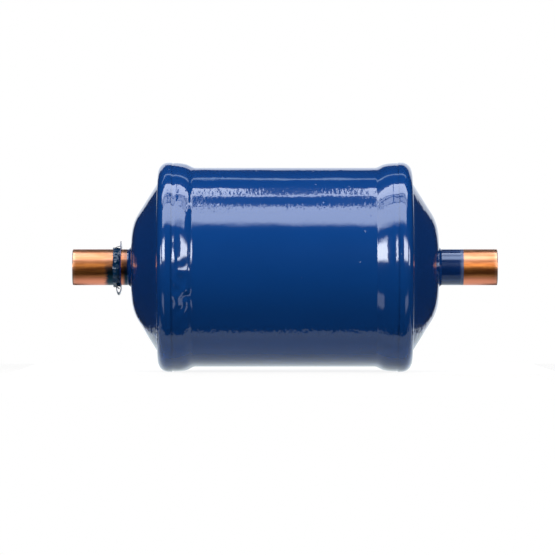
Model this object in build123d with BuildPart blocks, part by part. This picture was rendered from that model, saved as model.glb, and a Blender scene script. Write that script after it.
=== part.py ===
from build123d import *

import os
from math import cos, radians, tan

# Filter drier for a refrigerant liquid line: a welded steel shell that holds a spring-loaded moulded desiccant
# core between two copper solder connectors. Millimetres. The pipe axis is X, with the outlet at +X, +Z is up,
# and the origin is on the axis at the middle of the overall length.

os.makedirs("parts", exist_ok=True)

# ---------------------------------------------------------------------------------------------------------------
# Driving dimensions
# ---------------------------------------------------------------------------------------------------------------

# Shell
body_length = 100.0             # over the noses of the two end caps
shell_od = 64.8
shell_wall = 1.5
shell_lap = 2.2                 # how far the tube enters each cap's skirt
shell_end_chamfer = 1.0         # lead on the tube's ends, clear of the cap's inner corner

# End caps, pressed from sheet
cap_wall = 1.6
skirt_clearance = 0.1           # radial, skirt over tube
cap_corner_radius = 3.4         # outside bend from skirt to flange
flange_setback = 8.7            # flange face, measured inward from the nose
flange_width = 6.35             # from the cap's outside in to the cone's foot
cone_foot_fillet = 0.5
cone_angle = 57.8               # degrees between the cone and the pipe axis
nose_radius = 15.0              # outside bend from cone to nose

# Circumferential welds
weld_width = 7.6                # along the tube, from the skirt's edge to the toe
weld_crest_drop = 0.1           # crest of the weld below the outside of the skirt
weld_shoulder = 0.62            # where the bead starts to fall away, as a share of its width
weld_shoulder_drop = 0.55       # below the crest

# Solder connectors
pipe_od = 9.525                 # the line that is soldered in, 3/8 in
solder_clearance = 0.06         # radial, pipe in socket
connector_wall = 1.03
connector_reach = 19.1          # outward from the nose
socket_depth = 9.5
stop_land = 0.9                 # shoulder that stops the pipe
mouth_radius = 0.3
neck_clearance = 0.05           # radial, connector in the cap's hole
collar_width = 2.4              # connector's inner collar, outward from its tube
collar_thickness = 1.2
braze_leg = 0.9                 # braze fillet outside the nose

# Lifted paint film on the inlet connector
film_thickness = 0.3
film_clearance = 0.1            # radial, sleeve over connector
film_brim_setback = 3.1         # torn brim, measured outward from the nose
film_sleeve_length = 3.0
film_brim_radius = 8.2          # mean radius of the torn edge
film_brim_lean = 0.6            # how much further it stands out at the top than at the bottom
film_ripple = 0.25
film_ripple_count = 5
film_edge_points = 20
curl_span = 50.0                # degrees of the brim that curl over, at the bottom
curl_root_radius = 7.2          # where the curl leaves the brim
curl_reach = 1.6                # back along the connector
curl_drop = 1.7                 # out beyond its root
strand_span = 14.0              # degrees, torn strand that arches from sleeve to brim at the top
strand_rise = 0.75              # crest of the strand above the sleeve
strand_thickness = 0.22

# Desiccant core and what holds it
core_gap = 4.9                  # radial, core in tube
core_chamfer = 1.5
core_bore_radius = 8.0          # blind, open to the outlet
core_bore_floor = 12.0          # block left at the blind end
gasket_thickness = 1.5
gasket_width = 5.5
felt_thickness = 2.0
felt_inset = 0.5                # felt's edge inside the core's edge

# Pressure plate at the core's inlet end
sheet = 1.0                     # sheet of the two inner plates
tab_clearance = 0.3             # radial, tab over core
tab_grip = 3.0                  # how far the tabs reach past the felt
tab_relief = 3.0                # between a tab and the lug beside it
lug_count = 6
lug_width = 10.0
lug_clearance = 0.3             # radial, lug in tube
plate_hole_radius = 2.5
plate_hole_circle = 14.0
plate_centre_hole_radius = 4.0

# Core spring, with a flat half-turn at each end
spring_length = 11.9            # pressed in, flange to plate
spring_wire = 1.8
spring_rising_half_turns = 2

# Outlet plate, a pressed perforated cup
plate_clearance = 0.1           # radial, rim in tube
plate_rim_height = 6.0
plate_rim_bend = 2.6            # outside
well_margin = 1.5               # radial, well inside the gasket's hole
well_draft = 0.8
well_depth = 4.0
well_bend = 1.4                 # outside, at the well's foot
seat_bend = 0.6                 # at the well's mouth
screen_thickness = 0.6
filter_clearance = 0.3          # radial, screen and pad in the well
perforation_radius = 1.8
perforation_margin = 7.0        # last ring of holes, inside the well's mouth
perforation_rings = 2
perforations_per_ring = 4       # more in each ring outward

# ---------------------------------------------------------------------------------------------------------------
# Shared stations. At each end they are measured from the nose: inward along the axis, and outward from it.
# ---------------------------------------------------------------------------------------------------------------

shell_radius = shell_od / 2
shell_bore_radius = shell_radius - shell_wall
skirt_bore_radius = shell_radius + skirt_clearance
cap_radius = skirt_bore_radius + cap_wall
cone_foot_radius = cap_radius - flange_width
shell_end = flange_setback + cap_corner_radius - shell_end_chamfer
skirt_edge = shell_end + shell_lap
flange_inside = flange_setback + cap_wall

socket_radius = pipe_od / 2 + solder_clearance
connector_radius = socket_radius + connector_wall
neck_radius = connector_radius + neck_clearance

plate_seat = flange_inside + sheet
core_outlet_face = plate_seat + gasket_thickness
spring_seat = flange_inside + spring_length
felt_face = spring_seat + sheet
core_inlet_face = felt_face + felt_thickness
core_length = body_length - core_outlet_face - core_inlet_face
core_radius = shell_bore_radius - core_gap
tab_bore_radius = core_radius + tab_clearance
tab_radius = tab_bore_radius + sheet

nose_x = body_length / 2


def end_plane(inward):
    """Plane through the axis, with its origin at a nose, local X running inward and local Y up."""
    return Plane(origin=(-inward * nose_x, 0, 0), x_dir=(inward, 0, 0), z_dir=(0, -inward, 0))


def across_plane(end, station):
    """Plane across the axis at a station inward from a nose, facing into the body, with local Y up."""
    inward = end.x_dir
    return Plane(origin=end.origin + inward * station, x_dir=Vector(0, 0, 1).cross(inward), z_dir=inward)


inlet = end_plane(1)
outlet = end_plane(-1)
ends = {"inlet": inlet, "outlet": outlet}

# ---------------------------------------------------------------------------------------------------------------
# Shell tube
# ---------------------------------------------------------------------------------------------------------------

with BuildPart() as shell_tube:
    with BuildSketch(across_plane(inlet, shell_end)):
        Circle(shell_radius)
        Circle(shell_bore_radius, mode=Mode.SUBTRACT)
    extrude(amount=body_length - 2 * shell_end)
    outside = shell_tube.faces().filter_by(GeomType.CYLINDER).sort_by(SortBy.RADIUS)[-1]
    chamfer(outside.edges().filter_by(GeomType.CIRCLE), shell_end_chamfer)

shell_tube.part.label = "shell_tube"
export_step(shell_tube.part, "parts/shell_tube.step")

# ---------------------------------------------------------------------------------------------------------------
# End caps: nose, cone, flange, corner and skirt in one sheet thickness
# ---------------------------------------------------------------------------------------------------------------

cone_rise = flange_setback * tan(radians(cone_angle))

for end_name, end in ends.items():
    with BuildPart() as end_cap:
        with BuildSketch(end):
            with BuildLine():
                outside_line = FilletPolyline(
                    (0, neck_radius),
                    (0, cone_foot_radius - cone_rise),
                    (flange_setback, cone_foot_radius),
                    (flange_setback, cap_radius),
                    (skirt_edge, cap_radius),
                    radius=(nose_radius, cone_foot_fillet, cap_corner_radius),
                )
                offset(outside_line, amount=cap_wall, side=Side.RIGHT)
            make_face()
        revolve(axis=Axis.X)

    end_cap.part.label = f"{end_name}_end_cap"
    export_step(end_cap.part, f"parts/{end_name}_end_cap.step")

# ---------------------------------------------------------------------------------------------------------------
# Seam welds: nearly level beside the skirt's edge, then falling to ease into the tube
# ---------------------------------------------------------------------------------------------------------------

weld_crest_radius = cap_radius - weld_crest_drop

for end_name, end in ends.items():
    with BuildPart() as seam_weld:
        with BuildSketch(end):
            with BuildLine():
                weld_root = (skirt_edge, shell_radius)
                weld_crest = (skirt_edge, weld_crest_radius)
                weld_turn = (skirt_edge + weld_width * weld_shoulder, weld_crest_radius - weld_shoulder_drop)
                weld_toe = (skirt_edge + weld_width, shell_radius)
                Line(weld_root, weld_crest)
                Spline(weld_crest, weld_turn, weld_toe, tangents=[(1, 0), (1, 0)])
                Line(weld_toe, weld_root)
            make_face()
        revolve(axis=Axis.X)

    seam_weld.part.label = f"{end_name}_seam_weld"
    export_step(seam_weld.part, f"parts/{end_name}_seam_weld.step")

# ---------------------------------------------------------------------------------------------------------------
# Solder connectors: socket, pipe stop, through passage and the collar that bears on the inside of the nose
# ---------------------------------------------------------------------------------------------------------------

for end_name, end in ends.items():
    with BuildPart() as connector:
        with BuildSketch(end):
            with BuildLine():
                mouth = -connector_reach
                pipe_stop = mouth + socket_depth
                collar_back = cap_wall + collar_thickness
                Polyline(
                    (mouth, socket_radius),
                    (mouth, connector_radius),
                    (cap_wall, connector_radius),
                    (cap_wall, connector_radius + collar_width),
                    (collar_back, connector_radius + collar_width),
                    (collar_back, socket_radius - stop_land),
                    (pipe_stop, socket_radius - stop_land),
                    (pipe_stop, socket_radius),
                    close=True,
                )
            make_face()
            fillet(vertices().group_by(Axis.X)[0], mouth_radius)
        revolve(axis=Axis.X)

    connector.part.label = f"{end_name}_connector"
    export_step(connector.part, f"parts/{end_name}_connector.step")

# ---------------------------------------------------------------------------------------------------------------
# Braze rings: fillets between the nose and the connector
# ---------------------------------------------------------------------------------------------------------------

for end_name, end in ends.items():
    with BuildPart() as braze_ring:
        with BuildSketch(end):
            with BuildLine():
                braze_root = (0, connector_radius)
                braze_toe = (-braze_leg, connector_radius)
                braze_top = (0, connector_radius + braze_leg)
                Line(braze_root, braze_toe)
                Line(braze_toe, braze_top)
                Line(braze_top, braze_root)
            make_face()
        revolve(axis=Axis.X)

    braze_ring.part.label = f"{end_name}_braze_ring"
    export_step(braze_ring.part, f"parts/{end_name}_braze_ring.step")

# ---------------------------------------------------------------------------------------------------------------
# Lifted paint film on the inlet connector: a loose sleeve with a torn brim, a curl below and a strand above
# ---------------------------------------------------------------------------------------------------------------

film_bore_radius = connector_radius + film_clearance
film_radius = film_bore_radius + film_thickness
brim_face = -film_brim_setback
sleeve_end = brim_face - film_sleeve_length


def torn_edge_point(index):
    """A point of the brim's outline: out at the top, in at the bottom, with a ripple all round."""
    angle = 360 / film_edge_points * index
    lean = film_brim_lean * cos(radians(angle))
    ripple = film_ripple * cos(radians(angle * film_ripple_count))
    return Vector(0, film_brim_radius + lean + ripple).rotate(Axis.Z, angle)


with BuildPart() as lifted_paint_collar:
    with BuildSketch(across_plane(inlet, sleeve_end)):
        Circle(film_radius)
    extrude(amount=film_sleeve_length)
    with BuildSketch(across_plane(inlet, brim_face - film_thickness)):
        with BuildLine():
            Spline(*[torn_edge_point(index) for index in range(film_edge_points)], periodic=True)
        make_face()
    extrude(amount=film_thickness)

    with BuildSketch(inlet.rotated((180 - curl_span / 2, 0, 0))):
        with BuildLine():
            curl_root = (brim_face, curl_root_radius)
            curl_crest = (brim_face - curl_reach / 2, curl_root_radius + curl_drop)
            curl_tip = (brim_face - curl_reach, curl_root_radius)
            curl_line = ThreePointArc(curl_root, curl_crest, curl_tip)
            offset(curl_line, amount=film_thickness, side=Side.LEFT)
        make_face()
    revolve(axis=Axis.X, revolution_arc=curl_span)

    with BuildSketch(inlet.rotated((-strand_span / 2, 0, 0))):
        with BuildLine():
            strand_foot = (sleeve_end, film_radius - film_thickness / 2)
            strand_crest = (sleeve_end + film_sleeve_length / 2, film_radius + strand_rise)
            strand_head = (brim_face - film_thickness / 2, film_radius + strand_rise)
            strand_line = ThreePointArc(strand_foot, strand_crest, strand_head)
            offset(strand_line, amount=strand_thickness, side=Side.RIGHT)
        make_face()
    revolve(axis=Axis.X, revolution_arc=strand_span)

    with BuildSketch(across_plane(inlet, sleeve_end)):
        Circle(film_bore_radius)
    extrude(amount=film_sleeve_length, mode=Mode.SUBTRACT)

lifted_paint_collar.part.label = "lifted_paint_collar"
export_step(lifted_paint_collar.part, "parts/lifted_paint_collar.step")

# ---------------------------------------------------------------------------------------------------------------
# Outlet plate: perforated well, flat seat for the core's gasket, and a rim that centres it in the tube
# ---------------------------------------------------------------------------------------------------------------

well_floor = flange_inside - well_depth
well_radius = core_radius - gasket_width - well_margin
well_bore_radius = well_radius - well_draft - sheet
rim_radius = shell_bore_radius - plate_clearance
perforation_pitch = (well_radius - perforation_margin) / perforation_rings

with BuildPart() as outlet_plate:
    with BuildSketch(outlet):
        with BuildLine():
            pressed_line = FilletPolyline(
                (well_floor, 0),
                (well_floor, well_radius - well_draft),
                (flange_inside, well_radius),
                (flange_inside, rim_radius),
                (flange_inside + plate_rim_height, rim_radius),
                radius=(well_bend, seat_bend, plate_rim_bend),
            )
            offset(pressed_line, amount=sheet, side=Side.RIGHT)
        make_face()
    revolve(axis=Axis.X)
    with BuildSketch(across_plane(outlet, well_floor)):
        Circle(perforation_radius)
        for ring in range(1, perforation_rings + 1):
            with PolarLocations(ring * perforation_pitch, ring * perforations_per_ring):
                Circle(perforation_radius)
    extrude(amount=sheet, mode=Mode.SUBTRACT)

outlet_plate.part.label = "outlet_plate"
export_step(outlet_plate.part, "parts/outlet_plate.step")

# ---------------------------------------------------------------------------------------------------------------
# Outlet screen and filter pad, stacked in the plate's well
# ---------------------------------------------------------------------------------------------------------------

screen_face = well_floor + sheet
pad_face = screen_face + screen_thickness
filter_radius = well_bore_radius - filter_clearance

with BuildPart() as outlet_screen:
    with BuildSketch(across_plane(outlet, screen_face)):
        Circle(filter_radius)
    extrude(amount=screen_thickness)

outlet_screen.part.label = "outlet_screen"
export_step(outlet_screen.part, "parts/outlet_screen.step")

with BuildPart() as outlet_filter_pad:
    with BuildSketch(across_plane(outlet, pad_face)):
        Circle(filter_radius)
    extrude(amount=plate_seat - pad_face)

outlet_filter_pad.part.label = "outlet_filter_pad"
export_step(outlet_filter_pad.part, "parts/outlet_filter_pad.step")

# ---------------------------------------------------------------------------------------------------------------
# Core gasket, desiccant core and inlet felt
# ---------------------------------------------------------------------------------------------------------------

with BuildPart() as core_gasket:
    with BuildSketch(across_plane(outlet, plate_seat)):
        Circle(core_radius)
        Circle(core_radius - gasket_width, mode=Mode.SUBTRACT)
    extrude(amount=gasket_thickness)

core_gasket.part.label = "core_gasket"
export_step(core_gasket.part, "parts/core_gasket.step")

with BuildPart() as desiccant_core:
    with BuildSketch(across_plane(outlet, core_outlet_face)):
        Circle(core_radius)
    extrude(amount=core_length)
    chamfer(desiccant_core.edges(), core_chamfer)
    with BuildSketch(across_plane(outlet, core_outlet_face)):
        Circle(core_bore_radius)
    extrude(amount=core_length - core_bore_floor, mode=Mode.SUBTRACT)

desiccant_core.part.label = "desiccant_core"
export_step(desiccant_core.part, "parts/desiccant_core.step")

with BuildPart() as inlet_felt_pad:
    with BuildSketch(across_plane(inlet, felt_face)):
        Circle(core_radius - felt_inset)
    extrude(amount=felt_thickness)

inlet_felt_pad.part.label = "inlet_felt_pad"
export_step(inlet_felt_pad.part, "parts/inlet_felt_pad.step")

# ---------------------------------------------------------------------------------------------------------------
# Pressure plate: flat lugs guide it in the tube and take the spring, tabs bent between them hold the core
# ---------------------------------------------------------------------------------------------------------------

lug_radius = shell_bore_radius - lug_clearance

with BuildPart() as pressure_plate:
    with BuildSketch(across_plane(inlet, spring_seat)):
        Circle(tab_radius)
        with PolarLocations(0, lug_count, start_angle=90):
            Rectangle(lug_radius, lug_width, align=(Align.MIN, Align.CENTER))
        Circle(lug_radius, mode=Mode.INTERSECT)
        Circle(plate_centre_hole_radius, mode=Mode.SUBTRACT)
        with PolarLocations(plate_hole_circle, lug_count, start_angle=90):
            Circle(plate_hole_radius, mode=Mode.SUBTRACT)
    extrude(amount=sheet)
    with BuildSketch(across_plane(inlet, spring_seat)):
        Circle(tab_radius)
        Circle(tab_bore_radius, mode=Mode.SUBTRACT)
        with PolarLocations(0, lug_count, start_angle=90):
            Rectangle(lug_radius, lug_width + 2 * tab_relief, align=(Align.MIN, Align.CENTER), mode=Mode.SUBTRACT)
    extrude(amount=sheet + felt_thickness + tab_grip)

pressure_plate.part.label = "pressure_plate"
export_step(pressure_plate.part, "parts/pressure_plate.step")

# ---------------------------------------------------------------------------------------------------------------
# Core spring: a coil between the inlet cap's flange and the plate's lugs. Each half-turn is a half ring, tilted so
# that it climbs from one side of the axis to the other. The first and the last lie flat on their seats.
# ---------------------------------------------------------------------------------------------------------------

spring_radius = (cone_foot_radius + cap_radius - cap_corner_radius) / 2
half_turn_rise = (spring_length - spring_wire) / spring_rising_half_turns

with BuildPart() as core_spring:
    station = flange_inside + spring_wire / 2
    for half_turn in range(spring_rising_half_turns + 2):
        rise = half_turn_rise if 0 < half_turn <= spring_rising_half_turns else 0
        side = -1 if half_turn % 2 else 1
        with BuildSketch(inlet):
            with Locations((station, side * spring_radius)):
                Circle(spring_wire / 2)
        middle = inlet.from_local_coords((station + rise / 2, 0, 0))
        revolve(axis=Axis(middle, (spring_radius, 0, side * rise / 2)), revolution_arc=180)
        station += rise

core_spring.part.label = "core_spring"
export_step(core_spring.part, "parts/core_spring.step")
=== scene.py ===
from collections import namedtuple
from math import atan2, cos, exp, pi, radians, sin, tan

import bmesh
import bpy
from mathutils import Matrix, Vector, noise


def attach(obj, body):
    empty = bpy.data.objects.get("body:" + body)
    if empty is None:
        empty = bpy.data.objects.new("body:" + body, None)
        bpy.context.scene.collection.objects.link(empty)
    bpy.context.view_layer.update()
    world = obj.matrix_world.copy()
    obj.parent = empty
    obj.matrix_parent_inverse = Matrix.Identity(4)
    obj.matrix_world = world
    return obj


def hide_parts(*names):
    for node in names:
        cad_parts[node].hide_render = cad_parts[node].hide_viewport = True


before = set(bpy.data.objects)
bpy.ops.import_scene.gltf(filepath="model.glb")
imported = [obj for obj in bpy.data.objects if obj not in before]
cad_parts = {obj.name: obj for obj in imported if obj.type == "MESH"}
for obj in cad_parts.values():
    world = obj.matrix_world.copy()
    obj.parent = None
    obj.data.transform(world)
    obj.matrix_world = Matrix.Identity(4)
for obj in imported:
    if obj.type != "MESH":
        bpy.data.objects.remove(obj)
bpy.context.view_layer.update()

# A filter drier: a blue enamelled shell with a copper connector at each end, lying on a pale floor. Lengths are
# in millimetres where nothing else is said, and become metres where meshes are made. X is the pipe axis with
# the outlet at +X, Z is up, and the camera looks along +Y.

MM = 0.001

# ----------------------------------------------------------------------------------------------------------
# Sizes
# ----------------------------------------------------------------------------------------------------------

# Shell and connectors, the same as in the solids
NOSE_X = 50.0
SHELL_RADIUS = 32.4
CAP_RADIUS = 34.1
SKIRT_EDGE = 13.3               # inward from the nose
CONNECTOR_END = 69.1

# Seam welds
WELD_WIDTH = 7.6
WELD_CREST_DROP = 0.1
WELD_ROOT = 0.05                # how deep the bead's inside lies in the tube
WELD_STEPS = 60
WELD_TURN_STEPS = 300
WELD_LUMP_SIZE = 5.0
WELD_SPATTER_SIZE = 2.6
WELD_SPATTER_TURN = radians(-16)    # the rough patch, below the camera's side
WELD_SPATTER_SPREAD = radians(14)
WELD_FRONT_REACH = 0.7          # the front form is full where the surface faces the camera this squarely

# Forms of the bead. Slopes are falls per millimetre, and the shoulder's place is a share of the width. Drop is
# the shoulder's depth below the crest, and the groove is where the bead meets the skirt.
Bead = namedtuple("Bead", "start_slope shoulder drop shoulder_slope groove groove_width")
BEAD = Bead(0.07, 0.62, 0.55, 0.28, 0.12, 0.9)
INLET_FRONT_BEAD = Bead(0.05, 0.8, 1.0, 0.47, 0.3, 1.9)
OUTLET_FRONT_BEAD = Bead(0.03, 0.9, 1.35, 0.36, 0.26, 2.3)

# Tide lines in the enamel, where it dried unevenly
TIDE_HEIGHT = 18.8
HIGH_TIDE_HEIGHT = 23.3
LOW_TIDE_HEIGHT = -20.5
TIDE_WIDTH = 2.0

# Paint on the connectors, as places on the axis
OUTLET_PAINT_EDGE = 58.06
OUTLET_THIN_PAINT = 57.1
INLET_PAINT_EDGE = -51.25

# Heat stain on the inlet connector, beside the film and behind it
STAIN_FRONT = -58.9
STAIN_BACK = -53.1

# Lifted paint film: a ruffled sleeve with a torn brim, a curl below, a strand above and a tooth at its edge
FILM_THICKNESS = 0.2
FILM_FRONT = -55.9
FILM_BRIM = -53.25
FILM_RADIUS = 6.1
FILM_RUFFLE = 0.5
FILM_RUFFLE_SIZE = 1.5
BRIM_RADIUS = 8.1
BRIM_LEAN = 0.6                 # how much further the brim stands out at the top than in the middle
BRIM_TEAR = 0.7
BRIM_TEAR_SIZE = 2.2
CURL_FOOT = 6.9
CURL_DROP = 2.3
CURL_WIDTH = 1.7
STRAND_RISE = 1.0
TOOTH_LENGTH = 1.6
TOOTH_DROP = 1.1

# New pieces
SMOOTH_ANGLE = radians(40)      # sharper edges than this stay crisp

# Floor, and the sheets that lie just over it, in metres
FLOOR_LEVEL = -CAP_RADIUS * MM
CLOTH_LEVEL = FLOOR_LEVEL + 0.3 * MM

# Camera
CAMERA_AIM = Vector((-2.44, 0, -3.36)) * MM
CAMERA_DISTANCE = 1.6           # metres
FRAME_WIDTH = 180.8 * MM        # at the object

# Lamps
LAMP_DISTANCE = 0.9             # metres
LAMP_COOL = (0.96, 0.97, 1.0)
LAMP_WARM = (1.0, 0.95, 0.89)
LAMP_BLUE = (0.7, 0.88, 1.0)
BACKDROP_TINT = (0.88, 0.93, 1.0)
PLAIN_WHITE = (1.0, 1.0, 1.0)

# ----------------------------------------------------------------------------------------------------------
# Colours. Those in srgb() are as they look on a screen, 0-255; sheens and tints are linear.
# ----------------------------------------------------------------------------------------------------------


def srgb(red, green, blue):
    """A colour written as it looks on a screen, as the linear values a shader takes."""
    def linear(value):
        value /= 255
        return value / 12.92 if value <= 0.04045 else ((value + 0.055) / 1.055) ** 2.4
    return (linear(red), linear(green), linear(blue), 1.0)


ENAMEL = srgb(5, 45, 98)
ENAMEL_DEEP = srgb(4, 41, 91)
# Painted shade: a darker blue for the domes at the ends, where less light falls
ENAMEL_DOME_SHADE = srgb(4, 35, 81)
ENAMEL_SHEEN = (0.72, 0.81, 0.97, 1.0)
ENAMEL_STUB = srgb(3, 29, 72)
ENAMEL_THIN = srgb(48, 60, 92)
STUB_SHEEN = (0.6, 0.74, 1.0, 1.0)
COPPER_BROWN = srgb(190, 120, 62)
COPPER_TARNISH = srgb(148, 87, 46)
# Painted highlight: the gold given to the copper's upper side
COPPER_HIGHLIGHT_GOLD = srgb(178, 124, 96)
# Painted reflection: the pink given to the copper's underside for the pale floor it faces
COPPER_REFLECTED_PINK = srgb(226, 139, 107)
COPPER_PALE = srgb(226, 184, 160)
COPPER_STAIN = srgb(24, 52, 66)
FILM = srgb(16, 26, 74)
FILM_TEAL = srgb(4, 30, 54)
DESICCANT = srgb(214, 196, 164)
DESICCANT_DEEP = srgb(150, 128, 96)
PALE_FLOOR = srgb(244, 244, 244)
DARK_CLOTH = srgb(24, 24, 26)
PATCH_TINT = (0.88, 0.97, 1.0, 1.0)
WHITE = (1.0, 1.0, 1.0, 1.0)
BLACK = (0.0, 0.0, 0.0, 1.0)

# ----------------------------------------------------------------------------------------------------------
# Shader graphs
# ----------------------------------------------------------------------------------------------------------


class Value:
    """A number that varies over a surface. Arithmetic on it adds Math nodes."""

    def __init__(self, graph, socket):
        self.graph = graph
        self.socket = socket

    def _math(self, operation, first, second):
        node = self.graph.add("ShaderNodeMath", {"operation": operation}, {0: first, 1: second})
        return Value(self.graph, node.outputs[0])

    def __add__(self, other):
        return self._math("ADD", self, other)

    def __radd__(self, other):
        return self._math("ADD", other, self)

    def __sub__(self, other):
        return self._math("SUBTRACT", self, other)

    def __rsub__(self, other):
        return self._math("SUBTRACT", other, self)

    def __mul__(self, other):
        return self._math("MULTIPLY", self, other)

    def __rmul__(self, other):
        return self._math("MULTIPLY", other, self)

    def __truediv__(self, other):
        return self._math("DIVIDE", self, other)

    def absolute(self):
        return self._math("ABSOLUTE", self, 0.0)

    def ramp(self, start, end):
        """0 at start and below, 1 at end and beyond, smooth between. Start may be above end."""
        settings = {"interpolation_type": "SMOOTHSTEP"}
        falls = start > end
        low, high = (end, start) if falls else (start, end)
        targets = {"To Min": 1.0, "To Max": 0.0} if falls else {"To Min": 0.0, "To Max": 1.0}
        inputs = {"Value": self, "From Min": low, "From Max": high, **targets}
        node = self.graph.add("ShaderNodeMapRange", settings, inputs)
        return Value(self.graph, node.outputs["Result"])


class Graph:
    """A shader node tree of a material or the world."""

    def __init__(self, owner):
        owner.use_nodes = True
        self.tree = owner.node_tree
        self.tree.nodes.clear()
        self.coordinates = None

    def add(self, kind, settings=None, inputs=None):
        """Adds a node: its settings first, then its input sockets by name or number."""
        node = self.tree.nodes.new(kind)
        for name, value in (settings or {}).items():
            setattr(node, name, value)
        for key, value in (inputs or {}).items():
            if isinstance(value, Value):
                value = value.socket
            if isinstance(value, bpy.types.NodeSocket):
                self.tree.links.new(value, node.inputs[key])
            else:
                node.inputs[key].default_value = value
        return node

    def place(self):
        """The object's own coordinates."""
        if self.coordinates is None:
            self.coordinates = self.add("ShaderNodeTexCoord").outputs["Object"]
        return self.coordinates

    def along(self, axis):
        """The place along X, Y or Z in millimetres."""
        split = self.add("ShaderNodeSeparateXYZ", inputs={0: self.place()})
        return Value(self, split.outputs[axis]) / MM

    def toward(self, direction):
        """The place along any direction in millimetres."""
        inputs = {0: self.place(), 1: direction}
        node = self.add("ShaderNodeVectorMath", {"operation": "DOT_PRODUCT"}, inputs)
        return Value(self, node.outputs["Value"]) / MM

    def scaled(self, size):
        """The place measured in units of size, one length in millimetres or one for each axis."""
        sizes = size if isinstance(size, tuple) else (size, size, size)
        factors = tuple(1 / (MM * one) for one in sizes)
        inputs = {0: self.place(), 1: factors}
        return self.add("ShaderNodeVectorMath", {"operation": "MULTIPLY"}, inputs).outputs[0]

    def noise(self, size, detail=2.0, roughness=0.5, distortion=0.0):
        """Soft noise, 0 to 1, whose features are about size millimetres."""
        inputs = {
            "Vector": self.scaled(size),
            "Scale": 1.0,
            "Detail": detail,
            "Roughness": roughness,
            "Distortion": distortion,
        }
        return Value(self, self.add("ShaderNodeTexNoise", inputs=inputs).outputs["Fac"])

    def cells(self, size):
        """Distance from the middles of a pattern of cells about size millimetres across."""
        node = self.add("ShaderNodeTexVoronoi", inputs={"Vector": self.scaled(size), "Scale": 1.0})
        return Value(self, node.outputs["Distance"])

    def mix(self, factor, first, second):
        """First colour at factor 0, second at 1. Sockets 6, 7 and 2 are the Mix node's colours."""
        node = self.add("ShaderNodeMix", {"data_type": "RGBA"}, {0: factor, 6: first, 7: second})
        return node.outputs[2]

    def bump(self, height, depth, under=None):
        """A normal for relief whose height of 1 stands depth millimetres proud."""
        inputs = {"Height": height, "Distance": depth * MM, "Strength": 1.0}
        if under is not None:
            inputs["Normal"] = under
        return self.add("ShaderNodeBump", inputs=inputs).outputs["Normal"]

    def principled(self, **inputs):
        """A surface shader, with socket names written with underscores."""
        named = {}
        for name, value in inputs.items():
            named[name.replace("_", " ").title().replace("Ior", "IOR")] = value
        return self.add("ShaderNodeBsdfPrincipled", inputs=named).outputs["BSDF"]

    def glow(self, colour, strength=1.0):
        """A shader that gives light."""
        return self.add("ShaderNodeEmission", inputs={"Color": colour, "Strength": strength}).outputs[0]

    def background(self, strength):
        """A white world of a strength."""
        return self.add("ShaderNodeBackground", inputs={"Color": WHITE, "Strength": strength}).outputs[0]

    def blend(self, factor, first, second):
        """First shader at factor 0, second at 1."""
        return self.add("ShaderNodeMixShader", inputs={0: factor, 1: first, 2: second}).outputs[0]

    def surface(self, shader):
        self.add("ShaderNodeOutputMaterial", inputs={"Surface": shader})


def new_material(name):
    material = bpy.data.materials.new(name)
    return material, Graph(material)


# ----------------------------------------------------------------------------------------------------------
# Materials
# ----------------------------------------------------------------------------------------------------------


def enamel():
    """Thick glossy blue enamel: slow waves all over, and a fine peel that is strongest along tide lines on the
    camera's side."""
    material, graph = new_material("blue_enamel")
    x = graph.along("X")
    height = graph.along("Z")
    bells = x.absolute().ramp(NOSE_X - SKIRT_EDGE - WELD_WIDTH, NOSE_X - SKIRT_EDGE)
    # Painted shade: the domes get a darker blue, standing in for the lesser light that falls on them
    dome_shade = x.absolute().ramp(NOSE_X - 10.0, NOSE_X - 7.0)
    toward_inlet = x.ramp(-8.0, -20.0)
    camera_side = graph.along("Y").ramp(0.0, -12.0)
    tide = (height - TIDE_HEIGHT).absolute().ramp(TIDE_WIDTH, 0.3)
    tide += (height - HIGH_TIDE_HEIGHT).absolute().ramp(TIDE_WIDTH, 0.3) * 0.2
    tide *= (1.0 - bells * 0.9) * (1.0 + toward_inlet)
    tide += (height - LOW_TIDE_HEIGHT).absolute().ramp(TIDE_WIDTH * 2, 0.3) * 1.8
    tide *= camera_side
    waves = graph.noise((16.0, 6.0, 6.0), detail=1.0)
    ripples = graph.noise((3.6, 3.2, 3.2), detail=1.0)
    peel = graph.noise((0.8, 1.8, 1.8), detail=1.0)
    specks = graph.cells(5.0).ramp(0.07, 0.02)
    relief = graph.bump(waves, 0.1)
    relief = graph.bump(ripples * (1.0 + bells * 0.5), 0.03, under=relief)
    relief = graph.bump(peel * (0.1 + tide), 0.12, under=relief)
    relief = graph.bump(specks, 0.05, under=relief)
    tone = graph.mix(graph.noise(22.0, detail=3.0), ENAMEL_DEEP, ENAMEL)
    graph.surface(graph.principled(
        base_color=graph.mix(dome_shade, tone, ENAMEL_DOME_SHADE),
        roughness=0.05,
        specular_ior_level=0.7,
        specular_tint=ENAMEL_SHEEN,
        coat_weight=0.18,
        coat_roughness=0.17,
        normal=relief,
    ))
    return material


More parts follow.
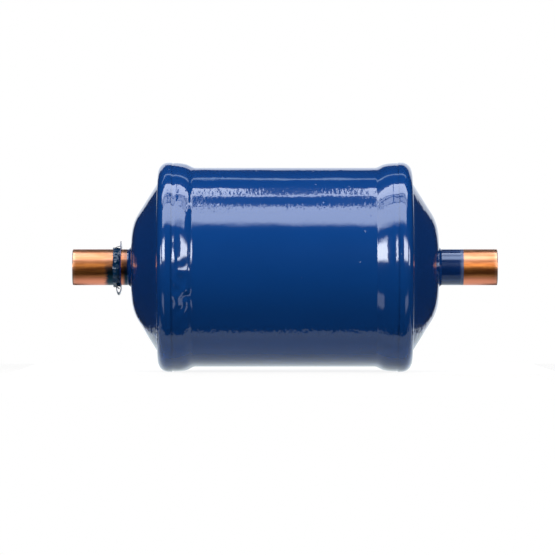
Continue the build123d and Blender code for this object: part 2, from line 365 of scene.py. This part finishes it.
def copper_shader(graph, stain=0.0):
    """Drawn copper, tarnished brown with streaks, bright at its cut end and with fine lengthwise draw marks. A
    painted highlight makes its upper side gold, and a painted reflection of the pale floor makes its underside
    pink. Stain,
    0 to 1, darkens it."""
    height = graph.along("Z")
    marks = graph.noise((9.0, 0.35, 0.35), detail=2.0)
    tarnish = graph.noise((9.0, 1.1, 1.1), detail=2.0).ramp(0.35, 0.65)
    blotches = graph.noise((2.4, 1.0, 1.0), detail=3.0)
    # Painted highlight: the upper side turns gold, with the tarnish streaking into it
    above = height.ramp(0.6, 2.4) * (1.0 - 0.5 * tarnish)
    # Painted reflection: the underside turns pink, standing in for the pale floor below it
    below = height.ramp(-2.0, -4.6)
    end = graph.along("X").absolute().ramp(CONNECTOR_END - 1.5, CONNECTOR_END)
    tone = graph.mix(tarnish, COPPER_BROWN, COPPER_TARNISH)
    tone = graph.mix(above, tone, COPPER_HIGHLIGHT_GOLD)
    tone = graph.mix(below, tone, COPPER_REFLECTED_PINK)
    tone = graph.mix(end * 0.35, tone, COPPER_PALE)
    return graph.principled(
        base_color=graph.mix(stain, tone, COPPER_STAIN),
        metallic=1.0,
        roughness=0.27 + 0.12 * blotches,
        normal=graph.bump(marks, 0.0012),
    )


def stub_paint(graph, thin=0.0):
    """The coat on a connector, darker than on the shell and greyer where it is thin."""
    return graph.principled(
        base_color=graph.mix(thin, ENAMEL_STUB, ENAMEL_THIN),
        roughness=0.16 + 0.12 * thin,
        specular_ior_level=0.85,
        specular_tint=STUB_SHEEN,
        normal=graph.bump(graph.noise(1.2, detail=2.0), 0.012),
    )


def outlet_copper():
    """Copper, painted from the nose out to a straight masked edge with a thin coat beside it."""
    material, graph = new_material("outlet_copper")
    x = graph.along("X")
    painted = x.ramp(OUTLET_PAINT_EDGE + 0.04, OUTLET_PAINT_EDGE - 0.04)
    thin = x.ramp(OUTLET_THIN_PAINT - 0.4, OUTLET_THIN_PAINT + 0.4)
    graph.surface(graph.blend(painted, copper_shader(graph), stub_paint(graph, thin)))
    return material


def inlet_copper():
    """Copper with a dark heat stain round the lifted paint and a little paint beside the nose."""
    material, graph = new_material("inlet_copper")
    x = graph.along("X")
    low = graph.along("Z").ramp(2.4, -1.8)
    ragged = x + 1.6 * graph.noise((1.2, 0.8, 0.8), detail=2.0) - 0.8
    beside = ragged.ramp(STAIN_FRONT - 0.3, STAIN_FRONT + 1.6) * (0.15 + 0.85 * low)
    behind = x.ramp(STAIN_BACK - 0.3, STAIN_BACK + 1.4) * (0.5 + 0.5 * low)
    before = x.ramp(STAIN_BACK, STAIN_BACK - 0.3)
    painted = (x + 0.3 * graph.noise(0.8)).ramp(INLET_PAINT_EDGE, INLET_PAINT_EDGE + 0.15)
    copper = copper_shader(graph, beside * before + behind)
    graph.surface(graph.blend(painted, copper, stub_paint(graph)))
    return material


def loose_paint_film():
    """Loose enamel with fine wrinkles, teal on the sleeve and navy on the torn brim."""
    material, graph = new_material("loose_paint_film")
    wrinkles = graph.noise((0.5, 0.9, 0.9), detail=2.0)
    brim = graph.along("X").ramp(FILM_BRIM - 0.6, FILM_BRIM - 0.2)
    graph.surface(graph.principled(
        base_color=graph.mix(brim, FILM_TEAL, FILM),
        roughness=0.13,
        specular_ior_level=0.38,
        specular_tint=ENAMEL_SHEEN,
        normal=graph.bump(wrinkles, 0.06),
    ))
    return material


def metal(name, colour, dull, size=1.0, depth=0.01):
    """Plain metal with faint mottling of a size and depth in millimetres."""
    material, graph = new_material(name)
    mottle = graph.noise(size, detail=3.0)
    graph.surface(graph.principled(
        base_color=graph.mix(mottle, colour, dull),
        metallic=1.0,
        roughness=0.3,
        normal=graph.bump(mottle, depth),
    ))
    return material


def fibre(name, colour, deep, size):
    """Matted fibre, soft and rough."""
    material, graph = new_material(name)
    strands = graph.noise((size * 4, size, size), detail=4.0, roughness=0.7, distortion=1.5)
    graph.surface(graph.principled(
        base_color=graph.mix(strands, deep, colour),
        roughness=0.95,
        normal=graph.bump(strands, size * 0.4),
    ))
    return material


def desiccant():
    """A moulded block of beads bound with resin."""
    material, graph = new_material("desiccant_block")
    beads = graph.cells(1.1)
    graph.surface(graph.principled(
        base_color=graph.mix(beads.ramp(0.2, 0.75), DESICCANT, DESICCANT_DEEP),
        roughness=0.85,
        normal=graph.bump(1.0 - beads, 0.25),
    ))
    return material


# ----------------------------------------------------------------------------------------------------------
# Pieces
# ----------------------------------------------------------------------------------------------------------


def finish_piece(form, name, material, replaced):
    """Turns a bmesh into a smooth piece that shows in place of a CAD node."""
    bmesh.ops.recalc_face_normals(form, faces=form.faces)
    for face in form.faces:
        face.smooth = True
    mesh = bpy.data.meshes.new(name)
    form.to_mesh(mesh)
    form.free()
    mesh.set_sharp_from_angle(angle=SMOOTH_ANGLE)
    mesh.materials.append(material)
    piece = bpy.data.objects.new(name, mesh)
    bpy.context.collection.objects.link(piece)
    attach(piece, "root")
    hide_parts(replaced)


def ease(share):
    """0 to 1, level at both ends."""
    share = min(max(share, 0), 1)
    return share * share * (3 - 2 * share)


def curve(share, start, end, start_slope, end_slope):
    """From start to end as share goes from 0 to 1, with a set slope at each end."""
    rise = end - start
    first = start_slope * share * (1 - share) ** 2
    last = end_slope * share * share * (share - 1)
    return start + rise * share * share * (3 - 2 * share) + first + last


def weld_radius(inward, bead):
    """The bead's radius, inward millimetres from the skirt's edge: a shallow groove, a gentle slope to the
    shoulder, then a fall that eases into the tube."""
    crest = CAP_RADIUS - WELD_CREST_DROP
    first = bead.shoulder * WELD_WIDTH
    rest = WELD_WIDTH - first
    turn = crest - bead.drop
    if inward < first:
        radius = curve(inward / first, crest, turn, -bead.start_slope * first, -bead.shoulder_slope * first)
    else:
        radius = curve((inward - first) / rest, turn, SHELL_RADIUS, -bead.shoulder_slope * rest, 0)
    return radius - bead.groove * (1 - ease(inward / bead.groove_width))


def seam_weld(name, side, front_bead, narrowing, lumps, spatter, material):
    """A weld bead with its paint, from the skirt's edge down to the tube. Side is -1 at the inlet, 1 at the
    outlet. On the camera's side the bead has a form of its own and its toe draws back by narrowing. Lumps and
    spatter are the heights of its unevenness, all over and in one rough patch."""
    start = NOSE_X - SKIRT_EDGE
    root = SHELL_RADIUS - WELD_ROOT
    pattern = Vector((side * 7, 0, 0))
    outline = []
    for step in range(WELD_STEPS + 1):
        inward = WELD_WIDTH * step / WELD_STEPS
        outline.append((start - inward, weld_radius(inward, BEAD)))
    outline += [(start - WELD_WIDTH, root), (start, root)]
    form = bmesh.new()
    corners = [form.verts.new((x * side * MM, 0, radius * MM)) for x, radius in outline]
    edges = [form.edges.new((corners[at - 1], corners[at])) for at in range(len(corners))]
    bmesh.ops.spin(
        form,
        geom=corners + edges,
        axis=(1, 0, 0),
        cent=(0, 0, 0),
        steps=WELD_TURN_STEPS,
        angle=2 * pi,
        use_merge=True,
    )
    for vert in form.verts:
        inward = min(max(start - abs(vert.co.x) / MM, 0), WELD_WIDTH)
        place = inward / WELD_WIDTH
        outward = Vector((0, vert.co.y, vert.co.z)).normalized()
        front = ease(-outward.y / WELD_FRONT_REACH)
        turn = atan2(outward.z, -outward.y)
        rough = exp(-((turn - WELD_SPATTER_TURN) / WELD_SPATTER_SPREAD) ** 2)
        swell = noise.noise(vert.co / (WELD_LUMP_SIZE * MM) + pattern) * lumps
        swell += noise.noise(vert.co / (WELD_SPATTER_SIZE * MM) + pattern) * spatter * rough
        swell *= sin(pi * place)
        swell += (weld_radius(inward, front_bead) - weld_radius(inward, BEAD)) * front
        vert.co += outward * swell * MM
        vert.co.x += side * narrowing * place * front * MM
    finish_piece(form, name, material, name)


def film_strip(form, points, turn, span, steps):
    """Spins a line of places on X and radii about the X axis. Turn is the middle of the strip in degrees from
    the camera's side up over the top, and span is how far round it goes."""
    start = radians(turn - span / 2)
    direction = Vector((0, -cos(start), sin(start)))
    corners = [form.verts.new((Vector((x, 0, 0)) + direction * radius) * MM) for x, radius in points]
    edges = [form.edges.new((corners[at - 1], corners[at])) for at in range(1, len(corners))]
    bmesh.ops.spin(
        form,
        geom=corners + edges,
        axis=(1, 0, 0),
        cent=(0, 0, 0),
        steps=steps,
        angle=-radians(span),
        use_merge=span == 360,
    )


def sweep(steps, point):
    """Points of a line, from point(0) to point(1)."""
    return [point(step / steps) for step in range(steps + 1)]


def lifted_film(material):
    """The loose paint on the inlet connector: sleeve and brim, then curl, strand and tooth."""
    form = bmesh.new()
    length = FILM_BRIM - FILM_FRONT
    sleeve = sweep(20, lambda t: (FILM_FRONT + length * t, FILM_RADIUS))
    brim = sweep(10, lambda t: (FILM_BRIM, FILM_RADIUS + (BRIM_RADIUS - FILM_RADIUS) * t))
    film_strip(form, sleeve + brim[1:], turn=0, span=360, steps=120)
    for vert in form.verts:
        outward = Vector((0, vert.co.y, vert.co.z))
        radius = outward.length / MM
        outward.normalize()
        share = (radius - FILM_RADIUS) / (BRIM_RADIUS - FILM_RADIUS)
        ruffle = noise.noise(vert.co / (FILM_RUFFLE_SIZE * MM)) * FILM_RUFFLE * (1 - share)
        tear = noise.noise(outward * BRIM_RADIUS / BRIM_TEAR_SIZE + Vector((3, 0, 0))) * BRIM_TEAR
        radius += max(ruffle, -0.1) + share * (outward.z * BRIM_LEAN + tear)
        vert.co = Vector((vert.co.x, 0, 0)) + outward * radius * MM
        vert.co.x += (ruffle * 0.5 + tear * 0.25) * MM

    curl_middle = FILM_BRIM - CURL_WIDTH / 2
    curl = sweep(16, lambda t: (
        curl_middle + CURL_WIDTH / 2 * cos(pi * t),
        CURL_FOOT + CURL_DROP * sin(pi * t),
    ))
    film_strip(form, curl, turn=-90, span=46, steps=16)
    strand = sweep(12, lambda t: (
        FILM_FRONT + 0.15 + (length - 0.15) * t,
        FILM_RADIUS - 0.1 + STRAND_RISE * sin(pi / 2 * t) ** 0.7,
    ))
    film_strip(form, strand, turn=90, span=14, steps=6)
    tooth = sweep(6, lambda t: (FILM_FRONT + 0.3 + TOOTH_LENGTH * t, FILM_RADIUS + TOOTH_DROP * t))
    film_strip(form, tooth, turn=-98, span=16, steps=6)
    bmesh.ops.recalc_face_normals(form, faces=form.faces)
    bmesh.ops.solidify(form, geom=form.faces, thickness=FILM_THICKNESS * MM)
    finish_piece(form, "lifted_paint_film", material, "lifted_paint_collar")


# ----------------------------------------------------------------------------------------------------------
# Stage, lights and camera
# ----------------------------------------------------------------------------------------------------------


def stage_plane(name, width, depth, turn, centre, material):
    """A flat rectangle on the stage, in metres, turned from level about X."""
    form = bmesh.new()
    bmesh.ops.create_grid(form, x_segments=1, y_segments=1, size=0.5)
    bmesh.ops.scale(form, verts=form.verts, vec=(width, depth, 1))
    bmesh.ops.rotate(form, verts=form.verts, matrix=Matrix.Rotation(turn, 3, "X"))
    bmesh.ops.translate(form, verts=form.verts, vec=centre)
    mesh = bpy.data.meshes.new(name)
    form.to_mesh(mesh)
    form.free()
    mesh.materials.append(material)
    plane = bpy.data.objects.new(name, mesh)
    bpy.context.collection.objects.link(plane)
    return plane


def hide_from(rays, *planes):
    """Keeps planes out of some kinds of rays."""
    for plane in planes:
        for ray in rays:
            setattr(plane, "visible_" + ray, False)


def panel(name, left, right, low, high, radiance, tint=PLAIN_WHITE, fade=0.0, fade_high=0.0):
    """A flat lamp facing the object. Left and right are metres on X. Low and high are degrees round the X axis,
    from the camera's side up over the top. Fade and fade_high are the degrees over which it dims towards its
    low and high edges."""
    middle = radians((low + high) / 2)
    centre = ((left + right) / 2, -LAMP_DISTANCE * cos(middle), LAMP_DISTANCE * sin(middle))
    height = 2 * LAMP_DISTANCE * tan(radians(high - low) / 2)
    material, graph = new_material(name)
    colour = (*tint, 1.0)
    if fade:
        upward = graph.toward((0, sin(middle), cos(middle)))
        edge = height / 2 / MM
        degree = 2 * edge / (high - low)
        lit = upward.ramp(-edge, fade * degree - edge)
        if fade_high:
            lit *= upward.ramp(edge, edge - fade_high * degree)
        colour = graph.mix(lit, BLACK, colour)
    graph.surface(graph.glow(colour, radiance))
    lamp = stage_plane(name, right - left, height, pi / 2 - middle, centre, material)
    hide_from(["camera"], lamp)


def lights():
    """Soft panels round the object: in front, overhead, at both sides and behind."""
    panel("front_softbox", -0.8, 0.5, 45.5, 74, 5.5, LAMP_COOL, fade=9)
    panel("top_softbox_left", -0.8, -0.02, 88.4, 102, 6.3, LAMP_COOL)
    panel("top_softbox_right", 0.036, 0.62, 88.4, 102, 6.3, LAMP_COOL)
    panel("top_slit", -0.02, 0.036, 88.4, 92, 5.0, LAMP_COOL)
    panel("side_softbox_left", -0.62, -0.054, 75, 82.6, 4.4, LAMP_COOL)
    panel("side_softbox_left_top", -0.62, -0.054, 84.2, 86.8, 4.4, LAMP_COOL)
    panel("side_softbox_right", 0.054, 0.62, 75, 82.6, 4.0, LAMP_COOL)
    panel("side_softbox_right_top", 0.054, 0.62, 84.2, 86.8, 4.0, LAMP_COOL)
    panel("far_strip_left", -2.4, -1.5, 4, 36, 9.0)
    panel("far_strip_right", 1.5, 2.4, 4, 36, 9.0)
    panel("flank_softbox_left", -1.0, -0.37, 4, 36, 15.5, LAMP_WARM, fade=8, fade_high=10)
    panel("flank_softbox_right", 0.18, 1.0, 4, 36, 13.0, LAMP_WARM, fade=8, fade_high=10)
    panel("low_card_left", -1.0, -0.45, -56, -30, 1.4, fade=8, fade_high=8)
    panel("low_card_right", 0.3, 1.0, -56, -30, 1.4, fade=8, fade_high=8)
    panel("back_strip", -0.6, 0.35, 119, 125, 2.0, LAMP_BLUE, fade=3, fade_high=3)


def sheet(name, left, right, front, back, height, material):
    """A level sheet on the stage, in metres."""
    centre = ((left + right) / 2, (front + back) / 2, height)
    return stage_plane(name, right - left, back - front, 0, centre, material)


def pale_floor():
    """The floor that the camera sees, with the object's shadow. It stays out of the enamel's reflections."""
    material, graph = new_material("pale_floor")
    rays = graph.add("ShaderNodeLightPath")
    seen = Value(graph, rays.outputs["Is Camera Ray"]) * 0.85
    pale = graph.principled(base_color=PALE_FLOOR, roughness=0.8)
    graph.surface(graph.blend(seen, pale, graph.glow(WHITE)))
    hide_from(["glossy"], sheet("floor", -0.3, 0.3, -0.3, 0.15, FLOOR_LEVEL, material))


def floor_patch():
    """The bright patch of floor under the object that its paint and copper reflect."""
    material, graph = new_material("floor_patch")
    back = graph.along("Y")
    shade = 0.54 + 0.2 * back.ramp(-20.0, -26.0) + 0.55 * back.ramp(-14.0, 0.0)
    graph.surface(graph.glow(graph.mix(shade, BLACK, PATCH_TINT)))
    hide_from(
        ["camera", "diffuse", "shadow"],
        sheet("floor_patch_front", -0.073, 0.073, -0.027, 0.022, CLOTH_LEVEL, material),
        sheet("floor_patch_back", -0.067, 0.067, 0.022, 0.8, CLOTH_LEVEL, material),
    )


def dark_cloths():
    """Cloths round the patch that keep the ground from lighting the object from below."""
    material, graph = new_material("dark_cloth")
    graph.surface(graph.principled(base_color=DARK_CLOTH, roughness=1.0, specular_ior_level=0.0))
    hide_from(
        ["camera", "glossy", "shadow"],
        sheet("dark_cloth_front", -0.6, 0.6, -0.6, -0.027, CLOTH_LEVEL, material),
        sheet("dark_cloth_left", -0.6, -0.088, -0.027, 0.8, CLOTH_LEVEL, material),
        sheet("dark_cloth_right", 0.088, 0.6, -0.027, 0.8, CLOTH_LEVEL, material),
    )


def backdrop():
    """The pale wall behind, as the enamel's edges reflect it."""
    panel("backdrop", -0.37, 0.5, 151, 194, 1.2, BACKDROP_TINT)


def sky():
    """White behind the object and dim round the rest of the room."""
    world = bpy.data.worlds.new("studio")
    bpy.context.scene.world = world
    graph = Graph(world)
    rays = graph.add("ShaderNodeLightPath")
    reflected = graph.blend(rays.outputs["Is Glossy Ray"], graph.background(0.12), graph.background(0.02))
    seen = graph.blend(rays.outputs["Is Camera Ray"], reflected, graph.background(1.0))
    graph.add("ShaderNodeOutputWorld", inputs={"Surface": seen})


def camera():
    """A long lens level with the object, so that it shows almost without perspective."""
    lens = bpy.data.cameras.new("camera")
    lens.lens = lens.sensor_width * CAMERA_DISTANCE / FRAME_WIDTH
    lens.clip_end = 20
    seat = bpy.data.objects.new("camera", lens)
    seat.location = CAMERA_AIM - Vector((0, CAMERA_DISTANCE, 0))
    seat.rotation_euler = (pi / 2, 0, 0)
    bpy.context.collection.objects.link(seat)
    bpy.context.scene.camera = seat


# ----------------------------------------------------------------------------------------------------------
# Assembly
# ----------------------------------------------------------------------------------------------------------


def dress(material, *nodes):
    """Gives CAD nodes a material."""
    for name in nodes:
        for node_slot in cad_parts[name].material_slots:
            node_slot.material = material


blue = enamel()
dress(blue, "shell_tube", "inlet_end_cap", "outlet_end_cap", "inlet_braze_ring", "outlet_braze_ring")
seam_weld("inlet_seam_weld", -1, INLET_FRONT_BEAD, 0.5, 0.15, 0.8, blue)
seam_weld("outlet_seam_weld", 1, OUTLET_FRONT_BEAD, 0.2, 0.05, 0.04, blue)
dress(inlet_copper(), "inlet_connector")
dress(outlet_copper(), "outlet_connector")
lifted_film(loose_paint_film())
dress(metal("spring_steel", srgb(120, 122, 126), srgb(78, 80, 86)), "core_spring")
dress(metal("plated_steel", srgb(190, 186, 170), srgb(150, 148, 138)), "pressure_plate", "outlet_plate")
dress(fibre("felt", srgb(214, 208, 196), srgb(160, 154, 142), 0.3), "inlet_felt_pad")
dress(fibre("gasket_fibre", srgb(120, 112, 100), srgb(84, 78, 70), 0.2), "core_gasket")
dress(fibre("filter_fibre", srgb(228, 226, 218), srgb(176, 174, 166), 0.25), "outlet_filter_pad")
dress(metal("screen_wire", srgb(170, 172, 176), srgb(110, 112, 116), size=0.5, depth=0.1), "outlet_screen")
dress(desiccant(), "desiccant_core")

pale_floor()
floor_patch()
dark_cloths()
backdrop()
sky()
lights()
camera()

bpy.context.scene.view_settings.view_transform = "Standard"
